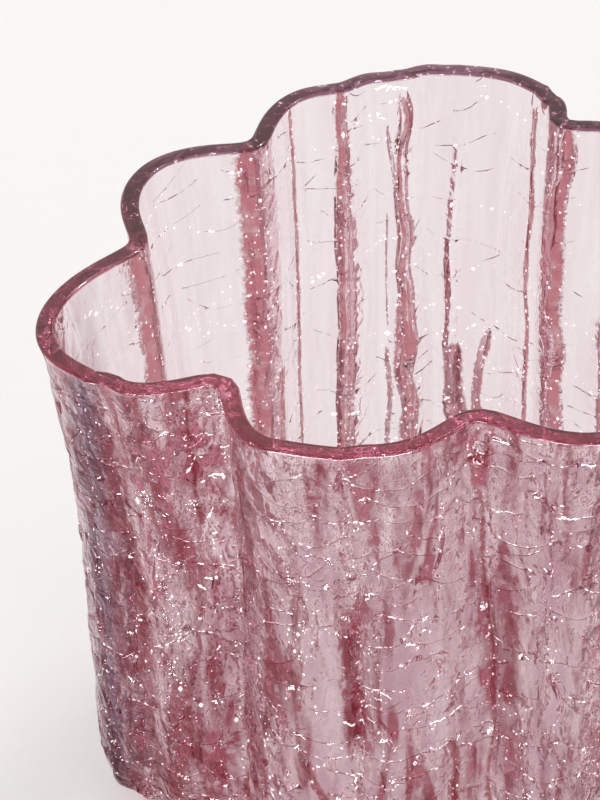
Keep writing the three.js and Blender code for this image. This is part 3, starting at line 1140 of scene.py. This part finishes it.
def make_glint_flake_material():
    """Painted glints: white flakes that also glow, so that they show through the glass."""
    material = bpy.data.materials.new("glowing_glints")
    material.use_nodes = True
    tree = material.node_tree
    nodes = Nodes(tree)
    shader = tree.nodes["Principled BSDF"]
    place = nodes.add("ShaderNodeTexCoord").outputs["Object"]
    grain = nodes.noise(place, 900.0, 2.0)
    nodes.put(shader, "Base Color", nodes.blend(grain, (0.90, 0.88, 0.885, 1), (0.97, 0.96, 0.96, 1)))
    shader.inputs["Metallic"].default_value = 0.0
    shader.inputs["Roughness"].default_value = 0.4
    # The flakes glow: painted glints, not lamps
    shader.inputs["Emission Color"].default_value = (1.0, 0.96, 0.965, 1)
    shader.inputs["Emission Strength"].default_value = 1.0
    return material


def add_piece(name, mesh, material, replaced=None):
    piece = bpy.data.objects.new(name, mesh)
    bpy.context.scene.collection.objects.link(piece)
    piece.data.materials.append(material)
    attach(piece, "root")
    if replaced:
        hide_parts(replaced)
    return piece


def make_vase():
    glass_mesh, middle = make_glass_mesh()
    add_piece("crackle_glass", glass_mesh, make_glass_material(), "glass_body")
    add_piece("glint_flakes", make_glint_flakes(middle), make_glint_flake_material())


# Studio

FLOOR_COLOUR = (0.893, 0.89, 0.884, 1)
FLOOR_DROP = 0.0002
FLOOR_CORNERS = 64
FLOOR_GLOW = 0.28
GLOW_THROUGH_GLASS = 0.6
FLOOR_RADIUS = 14.0
BACKGROUND = (0.93, 0.918, 0.91, 1)
# The middle of the vase, at which the small lamps point, and the height at which the strip points
VASE_MIDDLE = (0, 0, 0.08)
STRIP_AIM = (0, 0, 0.17)
STRIP_PLACE = (0.0, -1.5, 0.19)
STRIP_LENGTH = 2.4
STRIP_HEIGHT = 0.33
STRIP_POWER = 80
SUN_FROM = (0.75, 0.65, 1.25)
SUN_STRENGTH = 0.72
SUN_WIDTH = math.radians(20)


def make_floor_material():
    """Pale paper. Where it is seen, also through glass, part of its brightness is its own."""
    material = bpy.data.materials.new("floor_paper")
    material.use_nodes = True
    tree = material.node_tree
    nodes = Nodes(tree)
    paper = tree.nodes["Principled BSDF"]
    paper.inputs["Base Color"].default_value = FLOOR_COLOUR
    paper.inputs["Roughness"].default_value = 0.9
    paper.inputs["Specular IOR Level"].default_value = 0.0
    path = nodes.add("ShaderNodeLightPath")
    seen = nodes.math("MAXIMUM", path.outputs["Is Camera Ray"], path.outputs["Is Glossy Ray"])
    through = nodes.math("MULTIPLY", path.outputs["Is Transmission Ray"], GLOW_THROUGH_GLASS)
    share = nodes.math("MAXIMUM", nodes.math("MULTIPLY", seen, FLOOR_GLOW), through)
    glow = nodes.add("ShaderNodeEmission", Color=BACKGROUND, Strength=1.0)
    mixed = nodes.add("ShaderNodeMixShader")
    nodes.put(mixed, "Fac", share)
    tree.links.new(paper.outputs["BSDF"], mixed.inputs[1])
    tree.links.new(glow.outputs["Emission"], mixed.inputs[2])
    tree.links.new(mixed.outputs[0], tree.nodes["Material Output"].inputs["Surface"])
    return material


def make_floor():
    mesh = bpy.data.meshes.new("floor")
    turns = [2 * math.pi * number / FLOOR_CORNERS for number in range(FLOOR_CORNERS)]
    points = [(FLOOR_RADIUS * math.cos(turn), FLOOR_RADIUS * math.sin(turn), -FLOOR_DROP) for turn in turns]
    mesh.from_pydata(points, [], [tuple(range(FLOOR_CORNERS))])
    floor = bpy.data.objects.new("floor", mesh)
    bpy.context.scene.collection.objects.link(floor)
    mesh.materials.append(make_floor_material())


def make_world():
    """A white studio, dark overhead and on the side that the vase is seen from, with soft windows there."""
    world = bpy.data.worlds.new("studio")
    bpy.context.scene.world = world
    world.use_nodes = True
    tree = world.node_tree
    tree.nodes.clear()
    nodes = Nodes(tree)
    direction = nodes.add("ShaderNodeTexCoord").outputs["Generated"]
    parts = nodes.add("ShaderNodeSeparateXYZ", Vector=direction)
    toward = nodes.math("MULTIPLY", parts.outputs["Y"], -0.8)
    aside = nodes.math("MULTIPLY", parts.outputs["X"], -0.3)
    dark_side = nodes.math("ADD", nodes.math("ADD", toward, aside), parts.outputs["Z"])
    share = nodes.mask(dark_side, 0.35, 1.8)
    level = nodes.math("SUBTRACT", 1.0, nodes.math("MULTIPLY", share, 0.95))
    windows = nodes.mask(nodes.noise(direction, 3.4, 1.0), 0.522, 14.0)
    level = nodes.math("MAXIMUM", level, windows)
    path = nodes.add("ShaderNodeLightPath")
    lights_paper = nodes.math("MINIMUM", path.outputs["Diffuse Depth"], 0.93)
    mixed = nodes.math("MAXIMUM", nodes.math("MAXIMUM", level, path.outputs["Is Camera Ray"]), lights_paper)
    background = nodes.add("ShaderNodeBackground", Color=BACKGROUND, Strength=mixed)
    nodes.add("ShaderNodeOutputWorld", Surface=background.outputs[0])


def make_glint(name, place, size, power):
    """A small lamp that only shines on the glass."""
    light = bpy.data.lights.new(name, "AREA")
    light.shape = "DISK"
    light.size = size
    light.energy = power
    lamp = bpy.data.objects.new(name, light)
    lamp.location = place
    lamp.rotation_mode = "QUATERNION"
    lamp.rotation_quaternion = (Vector(place) - Vector(VASE_MIDDLE)).to_track_quat("Z", "Y")
    lamp.visible_diffuse = False
    lamp.visible_camera = False
    bpy.context.scene.collection.objects.link(lamp)


def make_sun():
    light = bpy.data.lights.new("window", "SUN")
    light.energy = SUN_STRENGTH
    light.angle = SUN_WIDTH
    sun = bpy.data.objects.new("window", light)
    sun.rotation_mode = "QUATERNION"
    sun.rotation_quaternion = Vector(SUN_FROM).to_track_quat("Z", "Y")
    bpy.context.scene.collection.objects.link(sun)


def make_strip():
    """A long low strip in front, which only shines on the glass: it draws the rim's bright edge."""
    light = bpy.data.lights.new("strip", "AREA")
    light.shape = "RECTANGLE"
    light.size = STRIP_LENGTH
    light.size_y = STRIP_HEIGHT
    light.energy = STRIP_POWER
    strip = bpy.data.objects.new("strip", light)
    strip.location = STRIP_PLACE
    strip.rotation_mode = "QUATERNION"
    strip.rotation_quaternion = (strip.location - Vector(STRIP_AIM)).to_track_quat("Z", "Y")
    strip.visible_diffuse = False
    strip.visible_transmission = False
    strip.visible_camera = False
    bpy.context.scene.collection.objects.link(strip)


def make_lamps():
    make_sun()
    make_strip()
    make_glint("glint_right", (0.75, 0.25, 0.95), 0.09, 7)
    make_glint("glint_left", (-0.8, -0.1, 0.9), 0.07, 5)
    make_glint("glint_front", (0.15, -0.9, 1.25), 0.08, 6)


# Camera: the view that the folds' vanishing point and the rim's outline give

PICTURE_LENGTH = 800
FOCAL_PIXELS = 3500
ELEVATION = math.radians(37.5)
ROLL = math.radians(-2)
SENSOR = 36.0
CAMERA_PLACE = (-0.02593, -0.80297, 0.73777)


def make_camera():
    data = bpy.data.cameras.new("camera")
    data.sensor_width = SENSOR
    data.lens = FOCAL_PIXELS * SENSOR / PICTURE_LENGTH
    data.clip_start = 0.05
    data.clip_end = 100
    camera = bpy.data.objects.new("camera", data)
    forward = Vector((0, math.cos(ELEVATION), -math.sin(ELEVATION)))
    level = Vector((1, 0, 0))
    upright = level.cross(forward)
    right = level * math.cos(ROLL) + upright * math.sin(ROLL)
    up = upright * math.cos(ROLL) - level * math.sin(ROLL)
    turn = Matrix((right, up, -forward)).transposed().to_4x4()
    camera.matrix_world = Matrix.Translation(CAMERA_PLACE) @ turn
    bpy.context.scene.collection.objects.link(camera)
    bpy.context.scene.camera = camera


make_camera()
make_floor()
make_world()
make_lamps()
make_vase()

scene = bpy.context.scene
scene.view_settings.view_transform = "Standard"
# Light passes many glass faces before it leaves the folded wall
scene.cycles.max_bounces = 20
scene.cycles.glossy_bounces = 16
scene.cycles.transmission_bounces = 20
